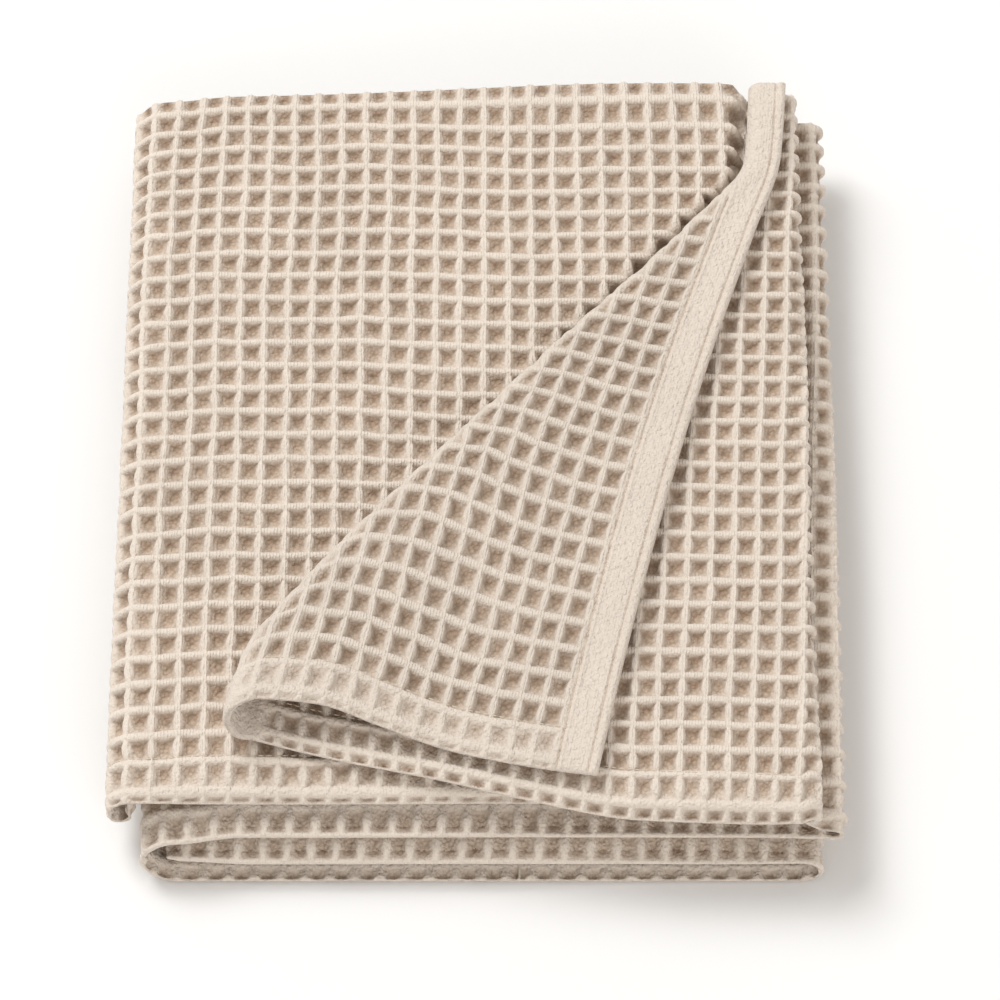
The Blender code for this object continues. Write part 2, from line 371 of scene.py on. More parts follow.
def uneven(across, down, seed):
    """Smooth noise from -1 to 1, with one random value for each pair of whole numbers."""
    table = np.random.default_rng(seed).uniform(-1, 1, (NOISE_SIZE, NOISE_SIZE))
    i, j = np.floor(across).astype(int), np.floor(down).astype(int)
    a, b = soft(across - i), soft(down - j)
    low = table[i % NOISE_SIZE, j % NOISE_SIZE] * (1 - a) + table[(i + 1) % NOISE_SIZE, j % NOISE_SIZE] * a
    j = j + 1
    high = table[i % NOISE_SIZE, j % NOISE_SIZE] * (1 - a) + table[(i + 1) % NOISE_SIZE, j % NOISE_SIZE] * a
    return low * (1 - b) + high * b


# %% Height of the weave
CELL_WIDTH, CELL_LENGTH = 11.3, 12.2  # from rib to rib, across and down the cloth
DOWN_RIB = (0.95, 2.1)  # half width where ribs cross, and mid-cell
DOWN_RIB_TOP = (2.0, 2.65)  # its height there
ACROSS_RIB = (1.75, 1.95)
ACROSS_RIB_TOP = (2.45, 2.15)
RIB_FOOT, OFF_RIB = 0.2, 9.0  # where a rib's side meets the pit, and its drop past it
UNEVEN_WIDTH, UNEVEN_TOP = 0.26, 0.22  # how much ribs differ, as a share and in height
RIB_ROUND = 2.6  # a round rib has 2, and a square one more
GROOVE = (0.5, 0.45)  # depth and half width between a rib's two strands
PIT_RIM, PIT_BOTTOM = 0.8, -2.1  # the walls of a pit run from here down to here
PIT_STARTS, PIT_WALL = 1.3, 3.1  # from a rib's middle line to a wall, and its width
KNOTS, KNOTS_IN_CELL = 0.75, 3.0  # height of the knots of yarn in a pit, and their number
LOWEST = -2.3  # no knot lies lower


def mix(pair, share):
    """A size between two, by a share."""
    return pair[0] + (pair[1] - pair[0]) * share


def rib(distance, half_width, top):
    """Height of a round rib at a distance from its middle line."""
    q = np.clip(distance / half_width, 0, 1)
    return RIB_FOOT + (top - RIB_FOOT) * np.sqrt(1 - q ** RIB_ROUND) - (q >= 1) * OFF_RIB


def waffle(u, v, seed):
    """Height over the middle surface, with the ribs at whole numbers of u and v."""
    x = np.abs(u - np.round(u)) * CELL_WIDTH
    y = np.abs(v - np.round(v)) * CELL_LENGTH
    mid_down, mid_across = np.sin(np.pi * v) ** 2, np.sin(np.pi * u) ** 2
    own = uneven(np.round(u), v + 0.5, seed)
    wide = mix(DOWN_RIB, mid_down * (1 + UNEVEN_WIDTH * own))
    down = rib(x, wide, mix(DOWN_RIB_TOP, mid_down) + UNEVEN_TOP * own)
    down = down - GROOVE[0] * mid_down * np.exp(-(x / GROOVE[1]) ** 2)
    own = uneven(u + 0.5, np.round(v), seed + 1)
    wide = mix(ACROSS_RIB, mid_across) * (1 + UNEVEN_WIDTH / 2 * own)
    across = rib(y, wide, mix(ACROSS_RIB_TOP, mid_across) + UNEVEN_TOP * own)
    knots = KNOTS * uneven(u * KNOTS_IN_CELL, v * KNOTS_IN_CELL, seed + 2)
    wall = np.clip((np.minimum(x, y) - PIT_STARTS) / PIT_WALL, 0, 1)
    bottom = np.maximum(PIT_BOTTOM + knots, LOWEST)
    pit = PIT_RIM + (bottom - PIT_RIM) * wall
    return np.maximum.reduce([down, across, pit])


# %% [markdown]
# ## The hems
# Along every front edge the waffle is turned under and stitched 20 mm in, which presses
# it flatter.  The flap's side hem is a dense band with no waffle at all: a pebbled
# surface, a plump outer lip, and a row of stitching along each side.

# %% Heights of the hems
FRONT_HEM, HEM_FADE = 20.0, 4.0  # its width, and over how much it eases into the waffle
HEM_LEVEL = 2.0  # height to which it is pressed,
FLAP_RELIEF, PILE_RELIEF = 0.6, 0.85  # and the share of the waffle's relief that stays
FRONT_LIP, FRONT_LIP_WIDTH = 1.15, 1.5  # the lip along a front edge
PEBBLE = 0.2  # height of the side hem's grain
PEBBLE_SIZE = (1.2, 1.5)
HEM_BAND, BAND_FADE = 21.0, 1.2  # width of the flap's side hem, as above
BAND_LEVEL = 2.05
SIDE_LIP = (0.5, 2.4, 2.0)  # height, distance from the edge and half width
RAISED_LINE = (0.6, 17.4, 0.6)  # the same of a thin fold
STITCH_GROOVE, STITCH_WIDTH = 0.7, 0.7
SIDE_GROOVE = 1.6  # how much deeper the side hem's lines are
SIDE_STITCHES = (4.6, 19.2)  # distances from the flap's outer edge
FLAT_LEVEL = 2.65  # height of a side that no one sees, and at a seam
LEAST_CLOTH = 0.5  # thickness between the pits of the two sides
SIDES = ((1, 0), (-1, 0.5))  # which way a side faces, and its ribs' shift in cells
EDGE_STEPS = (0, 0.25, 0.7, 1.4, 2.3)  # distances from an edge, where it rounds off


def edge_share(distance):
    """1 inside the cloth, falling to 0 on its edge as a quarter circle does."""
    q = np.clip(distance / EDGE_STEPS[-1], 0, 1)
    return np.sqrt(1 - (1 - q) ** 2)


def stitch_groove(distance):
    """Depth of the line that a row of stitches pulls into the cloth."""
    return STITCH_GROOVE * np.exp(-(distance / STITCH_WIDTH) ** 2)


def hemmed_waffle(u, v, from_front, relief, seed):
    """Height of the waffle with the front hem pressed flat, and the hem's share."""
    hem = 1 - soft((from_front - FRONT_HEM) / HEM_FADE + 0.5)
    high = waffle(u, v, seed)
    high = high + (HEM_LEVEL + relief * (high - HEM_LEVEL) - high) * hem
    lip = 1 - soft(from_front - FRONT_LIP_WIDTH + 1)
    high = high + np.maximum(FRONT_LIP - high, 0) * lip
    return high - stitch_groove(from_front - FRONT_HEM), hem


def side_hem(from_hem, y, seed):
    """Height of the flap's side hem."""
    grain = PEBBLE * uneven(from_hem / PEBBLE_SIZE[0], y / PEBBLE_SIZE[1], seed)
    raised = sum(tall * np.exp(-((from_hem - at) / half_width) ** 2)
                 for tall, at, half_width in (SIDE_LIP, RAISED_LINE))
    lines = sum(stitch_groove(from_hem - line) for line in SIDE_STITCHES)
    return BAND_LEVEL + grain + raised - SIDE_GROOVE * lines


# %% [markdown]
# ## Measuring out the cells
# On the pile the weave is square to the front edge.  Its columns are counted along the
# path from the right hand fold, and its rows are shared out between each layer's own
# front and back edges.  On the flap the columns run with its hem, and its rows slope
# down to the right.

# %% Rows and columns of the pile
V_FRONT, RETURN_V_FRONT = -0.36, 0.0  # the front edge, in rows
ROWS, RETURN_ROWS = 30.16, 32.85  # how many there are, and on the layer under the flap
ROW_CHANGE = 0.08  # rows are longer at the front by this share
ROW_SAG, SAG_COLUMNS = 0.5, (19, 9)  # rows of the top dip by this, within these columns,
SAG_GROWS, SAG_ENDS = 0.6, 0.07  # over these shares from the front and the back
TOP_COLUMN, TOP_SHIFT = CELL_WIDTH, -4.0  # width of a column, and where the first one starts
RETURN_COLUMN = 10.6
LEAN, LEAN_FROM = 0.053, -100.0  # the columns under the flap lean to the right
PILE_SEED, FLAP_SEED = 11, 31  # for the unevenness of their rows and columns
JITTER = 0.045  # how far ribs wander, in cells
DRIFT, DRIFT_CELLS = 0.08, 5.0  # and drift, over this many cells
STEADY_ROWS = 1.5  # the rows stay in line this near to an edge


def wander(u, v, v_front, v_back, seed):
    """The place on the cloth of a point of the weave, whose ribs aren't quite straight."""
    inside = soft((v - v_front) / STEADY_ROWS) * soft((v_back - v) / STEADY_ROWS)
    far_u, far_v = u / DRIFT_CELLS, v / DRIFT_CELLS
    shift_u = JITTER * uneven(u, v, seed) + DRIFT * uneven(far_u, far_v, seed + 1)
    shift_v = JITTER * uneven(u, v, seed + 2) + DRIFT * uneven(far_u, far_v, seed + 3)
    return u + shift_u, v + shift_v * inside


def from_front_edge(t):
    """Share of the cloth's length in front of a row, from the share of its rows."""
    return t * (1 + ROW_CHANGE) - ROW_CHANGE * t * t


def pile_point(u, v, v_front, rows, away, ends):
    """Middle surface and normal at a point of the weave, on all but the flap.

    away(u, y) is a length of cloth, from where the top starts, and ends are the links
    between whose starts the piece lies.  Each round of the loop finds y anew, from the
    edges of the cloth at the place that the last one gave.
    """
    u, v = wander(u, v, v_front, v_front + rows, PILE_SEED)
    t = from_front_edge((v - v_front) / rows)
    y = FRONT + (BACK - FRONT) * t
    for _ in range(3):
        first, last = start_of(ends[0], y), start_of(ends[1], y)
        length = start_of("top", y) + away(u, y)
        edge = edges(on_section(y, np.clip(length, first, last))[2])
        y = edge[0] + (edge[1] - edge[0]) * t
    first, last = start_of(ends[0], y), start_of(ends[1], y)
    length = start_of("top", y) + away(u, y)
    point, normal, place = middle_and_normal(y, np.clip(length, first, last), edge)
    return point, normal, place, edge, (length < first) | (length > last)


def return_point(u, v):
    """A point of the layer under the flap."""
    return pile_point(u, v, RETURN_V_FRONT, RETURN_ROWS,
                      lambda u, y: RETURN_COLUMN * u + LEAN * (y - LEAN_FROM), ("return", "top"))


def top_point(u, v):
    """A point of the top or of the layers below it."""
    t = (v - V_FRONT) / ROWS
    sag = ROW_SAG * soft(t / SAG_GROWS) * soft((1 - t) / SAG_ENDS)
    sag = sag * soft((SAG_COLUMNS[0] - u) / SAG_COLUMNS[1])
    return pile_point(u, v - sag, V_FRONT, ROWS, lambda u, y: TOP_COLUMN * u + TOP_SHIFT,
                      ("top", FREE_END))


# %% Rows and columns of the flap
FLAP_CELL = 10.5  # width of a column on the flap
FLAP_U_HEM = -HEM_BAND / FLAP_CELL  # the outer edge of the hem, in columns
FLAP_SLOPE = 0.25  # how steeply the rows run, at the front
FLAP_SLOPE_HOLDS = 0.3  # share of the hem's length along which they do
EDGE_HOLDS, EDGE_EASES = 45.0, 190.0  # how far the rows follow the front edge, and let go
FLAP_ROWS = 29.06
FLAP_V_BACK = V_FRONT + FLAP_ROWS
WANDER_FROM, WANDER_OVER = 1.8, 2.0  # columns from the hem's edge where the weave loosens


def flap_point(u, v):
    """Middle surface and normal at a point of the flap's weave, u counted from its hem."""
    u_off, v_off = wander(u, v, V_FRONT, FLAP_V_BACK, FLAP_SEED)
    inside = soft((u - FLAP_U_HEM - WANDER_FROM) / WANDER_OVER)
    u, v = u + (u_off - u) * inside, v + (v_off - v) * inside
    hem_front = FLAP_FRONT[-1][1]
    t = from_front_edge((v - V_FRONT) / FLAP_ROWS)
    y_hem = hem_front + (LOOSE_BACK_Y - hem_front) * t
    slope = FLAP_SLOPE * (1 - soft((t - FLAP_SLOPE_HOLDS) / (1 - FLAP_SLOPE_HOLDS)))
    away = (u - FLAP_U_HEM) * FLAP_CELL / math.hypot(1, FLAP_SLOPE)
    y = np.minimum(y_hem + slope * away, LOOSE_BACK_Y)
    length = along(HEM_X, y) - along(HEM_X, y_hem) + away
    last = start_of("return", y)
    edge = edges(on_section(y, np.clip(length, 0, last))[2])
    own_front = hem_front + FLAP_SLOPE * away
    hold = 1 - soft((y - own_front - EDGE_HOLDS) / EDGE_EASES)
    y = y + (edge[0] - own_front) * hold
    length = along(HEM_X, y) - along(HEM_X, y_hem) + away
    last = start_of("return", y)
    point, normal, place = middle_and_normal(y, np.clip(length, 0, last), edge)
    return point, normal, place, edge, length > last


# %% [markdown]
# ## From heights to a sheet
# A piece of the sheet is a grid of weave cells.  A cell that shows gets a dozen points
# each way, bunched at the ribs, and a cell that no one sees stays one face with its four
# corners.  Such a grid with two sides can't be drawn from a primitive by hand, so it is
# built from points and faces.  Along a hem both sides meet on the middle line, which
# gives a round edge, and where the blanket goes on in the next piece a plain wall closes
# the sheet.

# %% Stations of a grid
FINE_ACROSS = (0, .065, .12, .18, .25, .37, .5, .63, .75, .82, .88, .935)
FINE_DOWN = (0, .065, .12, .165, .225, .3, .42, .58, .7, .775, .835, .88, .935)
EVEN_STEPS = (0, .08, .155, .23, .33, .5, .67, .77, .845, .92)
LEAST_GAP = 0.02


def stations(first, last, steps, cell, edge_at=()):
    """Places of the grid's lines from first to last, with extra ones along an edge."""
    found = (np.arange(math.floor(first), math.ceil(last) + 1)[:, None] + np.array(steps)).ravel()
    extra = [first, last]
    for edge in edge_at:
        inward = 1 if edge == first else -1
        extra += [edge + inward * step / cell for step in EDGE_STEPS]
    found = found[(found > first) & (found < last)]
    found = found[np.abs(found[:, None] - np.array(extra)).min(axis=1) > LEAST_GAP]
    return np.unique(np.round(np.concatenate([found, extra]), 9))


def cell_lines(at):
    """Where the borders of the cells are among the stations."""
    inner = [k for k in range(1, len(at) - 1) if abs(at[k] - round(at[k])) < SMALL]
    return [0] + inner + [len(at) - 1]


def cell_of(at):
    """The cell of each step between two stations."""
    return np.searchsorted(cell_lines(at), np.arange(len(at) - 1), side="right") - 1


def per_cell(values, us, vs, how=np.mean):
    """One number for each cell, from its four corners."""
    at = values.reshape(len(us), len(vs))[np.ix_(cell_lines(us), cell_lines(vs))]
    return how(np.stack([at[:-1, :-1], at[1:, :-1], at[1:, 1:], at[:-1, 1:]]), axis=0)


# %% Faces of a piece
def line_of_points(start, end, fine):
    """Grid points from a cell's corner towards the next one, without the last."""
    steps = max(abs(end[0] - start[0]), abs(end[1] - start[1]))
    i, j = np.sign(end[0] - start[0]), np.sign(end[1] - start[1])
    return [(start[0] + i * k, start[1] + j * k) for k in (range(steps) if fine else (0,))]


def sheet_faces(us, vs, kept, shown, hems):
    """Faces of a sheet as numbers of its points: first all of one side, then the other.

    kept says which cells belong to the piece, and shown which of each side are finely
    made.  hems says which borders of the grid are closed by the two sides' meeting.
    """
    lines_u, lines_v = cell_lines(us), cell_lines(vs)
    count = len(us) * len(vs)
    number = np.arange(count).reshape(len(us), len(vs))
    last = (len(lines_u) - 2, len(lines_v) - 2)
    faces = []
    for side in (0, 1):
        fine = (shown[side] & kept)[np.ix_(cell_of(us), cell_of(vs))]
        corners = (number[:-1, :-1], number[1:, :-1], number[1:, 1:], number[:-1, 1:])
        quads = np.stack([corner[fine] for corner in corners], axis=1) + side * count
        faces += (quads[:, ::-1] if side == 0 else quads).tolist()
    for i, j in np.argwhere(kept).tolist():
        (i0, i1), (j0, j1) = lines_u[i:i + 2], lines_v[j:j + 2]
        corners = ((i0, j0), (i1, j0), (i1, j1), (i0, j1))
        nearby = ((i, j - 1), (i + 1, j), (i, j + 1), (i - 1, j))
        on_hem = (j == 0 and hems[2], i == last[0] and hems[1],
                  j == last[1] and hems[3], i == 0 and hems[0])
        inside = [0 <= a <= last[0] and 0 <= b <= last[1] and bool(kept[a, b]) for a, b in nearby]
        for side in (0, 1):
            if shown[side][i, j]:
                continue
            loop = []
            for k in range(4):
                fine = inside[k] and bool(shown[side][nearby[k]])
                loop += line_of_points(corners[k], corners[(k + 1) % 4], fine)
            face = [int(number[at]) + side * count for at in loop]
            faces.append(face[::-1] if side == 0 else face)
        for k in range(4):
            if inside[k] or on_hem[k]:
                continue
            wall = []
            for side, turn in ((0, 1), (1, -1)):
                strip = line_of_points(corners[k], corners[(k + 1) % 4], bool(shown[side][i, j]))
                strip.append(corners[(k + 1) % 4])
                wall += [int(number[at]) + side * count for at in strip][::turn]
            faces.append(wall)
    return faces


# %% A piece from its grid
def add_mesh(name, points, faces, values):
    """A new object from points in millimetres, with named numbers for the material."""
    mesh = bpy.data.meshes.new(name)
    mesh.from_pydata((points * MM).tolist(), [], faces)
    for label, (kind, numbers) in values.items():
        field = "vector" if kind == "FLOAT_VECTOR" else "value"
        layer = mesh.attributes.new(label, kind, "POINT")
        layer.data.foreach_set(field, numbers.ravel().astype(np.float32))
    piece = bpy.data.objects.new(name, mesh)
    bpy.context.scene.collection.objects.link(piece)
    bpy.context.view_layer.objects.active = piece
    piece.select_set(True)
    bpy.ops.object.mode_set(mode="EDIT")
    bpy.ops.mesh.select_all(action="SELECT")
    bpy.ops.mesh.remove_doubles(threshold=0.002 * MM)
    bpy.ops.mesh.normals_make_consistent(inside=False)
    bpy.ops.object.mode_set(mode="OBJECT")
    bpy.ops.object.shade_smooth_by_angle(angle=math.radians(75))
    deselect()
    piece.data.calc_loop_triangles()
    print(name, len(piece.data.loop_triangles), "triangles")
    return piece


def inner_points(shown, us, vs, hems):
    """1 for the grid's points whose cells all show, and 0 for the others."""
    fine = shown[np.ix_(cell_of(us), cell_of(vs))]
    around = np.pad(fine, 1)
    around[0], around[-1] = hems[0] & around[1], hems[1] & around[-2]
    around[:, 0], around[:, -1] = hems[2] & around[:, 1], hems[3] & around[:, -2]
    inner = around[:-1, :-1] & around[1:, :-1] & around[1:, 1:] & around[:-1, 1:]
    return inner.ravel().astype(float)


def make_piece(name, us, vs, shift, where, heights, show, hems):
    """A piece of the blanket from its stations and the functions that place it.

    shift is added to the stations: 0, or half a cell where the side that shows is the
    one whose ribs lie between those of the other.
    """
    u, v = (at.ravel() for at in np.meshgrid(us + shift, vs + shift, indexing="ij"))
    point, normal, place, edge, past = where(u, v)
    from_front, from_back = point[:, 1] - edge[0], edge[1] - point[:, 1]
    facts = {"x": point[:, 0], "y": point[:, 1], "place": place, "up": normal[:, 2],
             "right": normal[:, 0], "front": from_front, "back": from_back}
    facts = {key: per_cell(value, us, vs) for key, value in facts.items()}
    kept = per_cell(past.astype(float), us, vs, np.min) < 1
    borders = ((0, slice(None)), (-1, slice(None)), (slice(None), 0), (slice(None), -1))
    levels, share, shown = [], [], []
    for turn, half in SIDES:
        fine = show(facts, turn) & kept
        for is_hem, at in zip(hems, borders):
            fine[at] = kept[at] if is_hem else fine[at]
        high, hem, round_off = heights(u, v, half, from_front, from_back, place)
        levels.append(FLAT_LEVEL + (high - FLAT_LEVEL) * inner_points(fine, us, vs, hems))
        share.append(hem)
        shown.append(fine)
    lack = np.maximum(LEAST_CLOTH - sum(levels), 0) / 2
    sides, weave = [], []
    for (turn, half), high in zip(SIDES, levels):
        sides.append(point + normal * (turn * (high + lack) * round_off)[:, None])
        weave.append(np.stack([u + half, v + half, high + lack], axis=-1))
    faces = sheet_faces(us, vs, kept, shown, hems)
    used = np.zeros(2 * len(u), bool)
    used[[at for face in faces for at in face]] = True
    renumber = np.cumsum(used) - 1
    faces = [renumber[face].tolist() for face in faces]
    values = {"weave": ("FLOAT_VECTOR", np.concatenate(weave)[used]),
              "hem": ("FLOAT", np.concatenate(share)[used])}
    piece = add_mesh(name, np.concatenate(sides)[used], faces, values)
    middle_points = point.reshape(len(us), len(vs), 3)
    across = np.diff(middle_points, axis=0)[:, :-1]
    down = np.diff(middle_points, axis=1)[:-1]
    patches = np.linalg.norm(np.cross(across, down), axis=-1)
    flat_area = patches[kept[np.ix_(cell_of(us), cell_of(vs))]].sum() * MM * MM
    print("    flat area", round(float(flat_area), 4), "m2")
    return piece, float(flat_area)


# %% [markdown]
# ## The six pieces
# The whole weave would be too heavy for one mesh, so the blanket is shown in six pieces
# that follow each other along the cloth: the flap with its ridge, the layer that it folds
# back from, the top, the drooping fold at its left with the layer that it leads to, and
# two pieces of the layers below.  They are cut along ribs, and mostly out of sight.

# %% The flap
CREST = (1.0, 1.4)  # places on the ridge between which the weave flattens
CREST_LEVEL, CREST_FLAT = 2.1, 0.85
SEAM_PLACE = LINK_NAMES.index("return")  # where the flap's piece ends
FLAP_FADE, RETURN_FADE = 1 / 9, 1 / 24  # how much before and after it the weave starts, in links
FLAP_COLUMNS = 20.0
BAND_FIRST, BAND_STEP = 2.9, 0.6  # lines of the grid on the side hem
WEAVE_SEED, SIDE_HEM_SEED, PILE_WEAVE_SEED = 41, 47, 53


def flap_heights(u, v, half, from_front, from_back, place):
    """Heights of the flap, the hems' share of them, and the rounding of its edges."""
    high, hem = hemmed_waffle(u + half, v + half, from_front, FLAP_RELIEF, WEAVE_SEED)
    from_hem = (u - FLAP_U_HEM) * FLAP_CELL
    band = 1 - soft((from_hem - HEM_BAND) / BAND_FADE + 0.5)
    high = high + (side_hem(from_hem, v * CELL_LENGTH, SIDE_HEM_SEED) - high) * band
    crest = soft((place - CREST[0]) / (CREST[1] - CREST[0]))
    high = CREST_LEVEL + (high - CREST_LEVEL) * (1 - CREST_FLAT * crest)
    high = FLAT_LEVEL + (high - FLAT_LEVEL) * soft((SEAM_PLACE - place) / FLAP_FADE)
    round_off = edge_share(from_front) * edge_share(from_back) * edge_share(from_hem)
    return high, np.maximum(hem, band), round_off


FLAP_EDGE, CURL_FROM, CURL_LENGTH = 12, 0.9, 80  # its underside shows here, in mm and links


def show_flap(cell, turn):
    """The flap's top, and its underside where the ridge curls over at the front."""
    curl = (cell["place"] > CURL_FROM) & (cell["front"] < CURL_LENGTH)
    return (turn > 0) | (cell["front"] < FLAP_EDGE) | curl


def flap():
    """The flap with the ridge over which it turns back."""
    band = np.array(EDGE_STEPS + tuple(np.arange(BAND_FIRST, HEM_BAND, BAND_STEP)))
    band = band / FLAP_CELL + FLAP_U_HEM
    band = band[(np.abs(band + 1) > LEAST_GAP) & (band < -LEAST_GAP)]
    us = np.concatenate([band, [-1.0], stations(0, FLAP_COLUMNS, FINE_ACROSS, FLAP_CELL)])
    vs = stations(V_FRONT, FLAP_V_BACK, FINE_DOWN, CELL_LENGTH, (V_FRONT, FLAP_V_BACK))
    us = np.unique(np.round(us, 9))
    return make_piece("blanket_flap", us, vs, 0, flap_point, flap_heights, show_flap,
                      (True, False, True, True))


# %% The layer that the flap folds back from
EDGE_RIB_FROM, EDGE_RIB_OVER = 30.0, 8.0  # from these columns on a rib lies on the front edge,
EDGE_RIB_ROWS = 3.0  # and the rows beside it are shifted
BESIDE_HEM, IN_MOUTH, EDGE_SHOWS = 22, 32, 9  # what shows of it, in mm
RETURN_COLUMNS = (-28.5, 0.5)


def pile_heights(u, v, half, from_front, from_back, place):
    """Heights of the pile's layers, the hem's share of them, and the rounding of the edges."""
    below_top = soft((u - EDGE_RIB_FROM) / EDGE_RIB_OVER)
    v = v - V_FRONT * below_top * (1 - soft((v - V_FRONT) / EDGE_RIB_ROWS))
    high, hem = hemmed_waffle(u + half, v + half, from_front, PILE_RELIEF, PILE_WEAVE_SEED)
    high = FLAT_LEVEL + (high - FLAT_LEVEL) * soft((place - SEAM_PLACE) / RETURN_FADE)
    return high, hem, edge_share(from_front) * edge_share(from_back)


def near_edge(cell, reach):
    """Cells within a distance of the front or back edge."""
    return (cell["front"] < reach) | (cell["back"] < reach)


def show_return(cell, turn):
    """What shows of the layer under the flap, and of the fold at its right."""
    beside_hem = cell["x"] > along(HEM_X, cell["y"]) - BESIDE_HEM
    in_mouth = cell["y"] < along(FLAP_FRONT, cell["x"]) + IN_MOUTH
    in_fold = cell["place"] > LINK_NAMES.index("return") + 1
    return (turn < 0) & (beside_hem | in_mouth | in_fold) | near_edge(cell, EDGE_SHOWS)


def layer_return():
    """The layer under the flap, with its fold at the right."""
    ends = (RETURN_V_FRONT - 0.5, RETURN_V_FRONT + RETURN_ROWS - 0.5)
    us = stations(*RETURN_COLUMNS, FINE_ACROSS, RETURN_COLUMN)
    vs = stations(*ends, FINE_DOWN, CELL_LENGTH, ends)
    return make_piece("blanket_return", us, vs, 0.5, return_point, pile_heights, show_return,
                      (False, False, True, True))


# %% The top
TOP_ENDS, SIDE_ENDS, BELOW_ENDS = 26.0, 56.0, 104.0  # columns at which the pieces end
PAST_RIDGE, UNDER_FLAP = 10, 24  # what the turned back corner hides of it, in mm
BOTH_SIDES = 7  # both sides show this near to an edge


def show_top(cell, turn):
    """What shows of the top: all but the cells under the turned back corner."""
    past_ridge = cell["x"] > along(RIDGE_X, cell["y"]) + PAST_RIDGE
    covered = cell["y"] > along(RETURN_FRONT, cell["x"]) + UNDER_FLAP
    return (turn > 0) & ~(past_ridge & covered) | near_edge(cell, BOTH_SIDES)


def piece_below(name, first, last, steps_across, show):
    """A piece of the pile under the flap, from one column to another."""
    ends = (V_FRONT, V_FRONT + ROWS)
    us = stations(first, last, steps_across, TOP_COLUMN)
    vs = stations(*ends, FINE_DOWN, CELL_LENGTH, ends)
    return make_piece(name, us, vs, 0, top_point, pile_heights, show, (False, False, True, True))


# %% The layers below
FOLDS_FROM, FRONT_SHOWS = 132, 26  # x past which a fold shows, and depth seen from the front
LEAST_UP, LEAST_OUT = -0.3, 0.1  # how far a side that shows is turned up, or outwards


def show_below(cell, turn):
    """Edges and folds of the lower layers."""
    upward = turn * cell["up"] > LEAST_UP
    outward = turn * cell["right"] * np.sign(cell["x"]) > LEAST_OUT
    beside_fold = (np.abs(cell["x"]) > FOLDS_FROM) & (upward | outward)
    at_front = (cell["front"] < FRONT_SHOWS) & upward
    return near_edge(cell, BOTH_SIDES) | at_front | beside_fold


def below():
    """The top with the drooping fold at its left, and all the layers under it."""
    y = np.zeros(1)
    length = float((start_of(FREE_END, y) - start_of("top", y))[0])
    start, end = (round((away - TOP_SHIFT) / TOP_COLUMN, 3) for away in (0, length))
    return [piece_below("blanket_top", start, TOP_ENDS, FINE_ACROSS, show_top),
            piece_below("blanket_side", TOP_ENDS, SIDE_ENDS, FINE_ACROSS, show_below),
            piece_below("blanket_below", SIDE_ENDS, BELOW_ENDS, EVEN_STEPS, show_below),
            piece_below("blanket_inside", BELOW_ENDS, end, EVEN_STEPS, show_below)]


made = [flap(), layer_return()] + below()
cloth = [piece for piece, area in made]

# %% [markdown]
# ## Stitching
# Each hem is held by a row of lockstitch.  One stitch is a uv sphere, drawn out to a
# grain of rice, and copies of it lie end to end in the groove that the thread pulls into
# the cloth.  They are joined into one piece, since they are one thread.

# %% Stitches
STITCH = (2.7, 0.75, 0.55)  # length, width and height of one
STITCH_STEP = 3.6  # from one to the next
STITCH_LIES_AT = 1.45  # its middle, over the cloth's middle surface,
SIDE_STITCH_LIES_AT = 1.1  # and in the deeper grooves of the side hem
SIDE_LINE_FROM, SIDE_LINE_TO = FLAP_FRONT[-1][1] + 4, LOOSE_BACK_Y - 3
FRONT_LINES = (  # run, from and to, points along it, side
    ("top", 120, 318, 200, 1),
    ("return", 4, 248, 300, -1),
    ("flap", 6, 158, 200, 1),
)


def hem_line(run, first, last, count, turn):
    """The stitching along a run's front hem, between lengths of cloth from its start."""
    lengths = np.linspace(first, last, count)
    y = np.full_like(lengths, FRONT)
    for _ in range(4):
        edge = edges(on_section(y, start_of(run, y) + lengths)[2])
        y = edge[0] + FRONT_HEM
    point, normal, _ = middle_and_normal(y, start_of(run, y) + lengths, edge)
    return point + normal * turn * STITCH_LIES_AT, normal * turn


def side_line(from_hem):
    """The stitching along the flap's side hem."""
    y = np.linspace(SIDE_LINE_FROM, SIDE_LINE_TO, 400)
    length = np.full_like(y, from_hem)
    point, normal, _ = middle_and_normal(y, length, edges(on_section(y, length)[2]))
    return point + normal * SIDE_STITCH_LIES_AT, normal


def one_stitch():
    """Points and faces of one stitch, along X."""
    bpy.ops.mesh.primitive_uv_sphere_add(segments=8, ring_count=5, radius=0.5)
    model = bpy.context.object
    points = np.array([tuple(vertex.co) for vertex in model.data.vertices])
    faces = [tuple(face.vertices) for face in model.data.polygons]
    bpy.data.objects.remove(model, do_unlink=True)
    return points[:, [2, 0, 1]] * STITCH, faces


def stitching(lines):
    """All the stitches as one piece, laid along lines of points with normals."""
    grain, grain_faces = one_stitch()
    points, faces = [], []
    for line, normal in lines:
        step = np.linalg.norm(np.diff(line, axis=0), axis=1)
        reached = np.append(0.0, np.cumsum(step))
        middles = np.arange(STITCH_STEP / 2, reached[-1], STITCH_STEP)
        for at in middles:
            here, before, after, up = (
                np.array([np.interp(place, reached, source[:, k]) for k in range(3)])
                for place, source in ((at, line), (at - 1, line), (at + 1, line), (at, normal)))
            onward = (after - before) / np.linalg.norm(after - before)
            aside = np.cross(up, onward)
            aside = aside / np.linalg.norm(aside)
            turned = grain @ np.stack([onward, aside, np.cross(onward, aside)])
            faces += [tuple(k + len(points) * len(grain) for k in face) for face in grain_faces]
            points.append(here + turned)
    return add_mesh("blanket_stitching", np.concatenate(points), faces, {})


thread = stitching([hem_line(*line) for line in FRONT_LINES]
                   + [side_line(from_hem) for from_hem in SIDE_STITCHES])

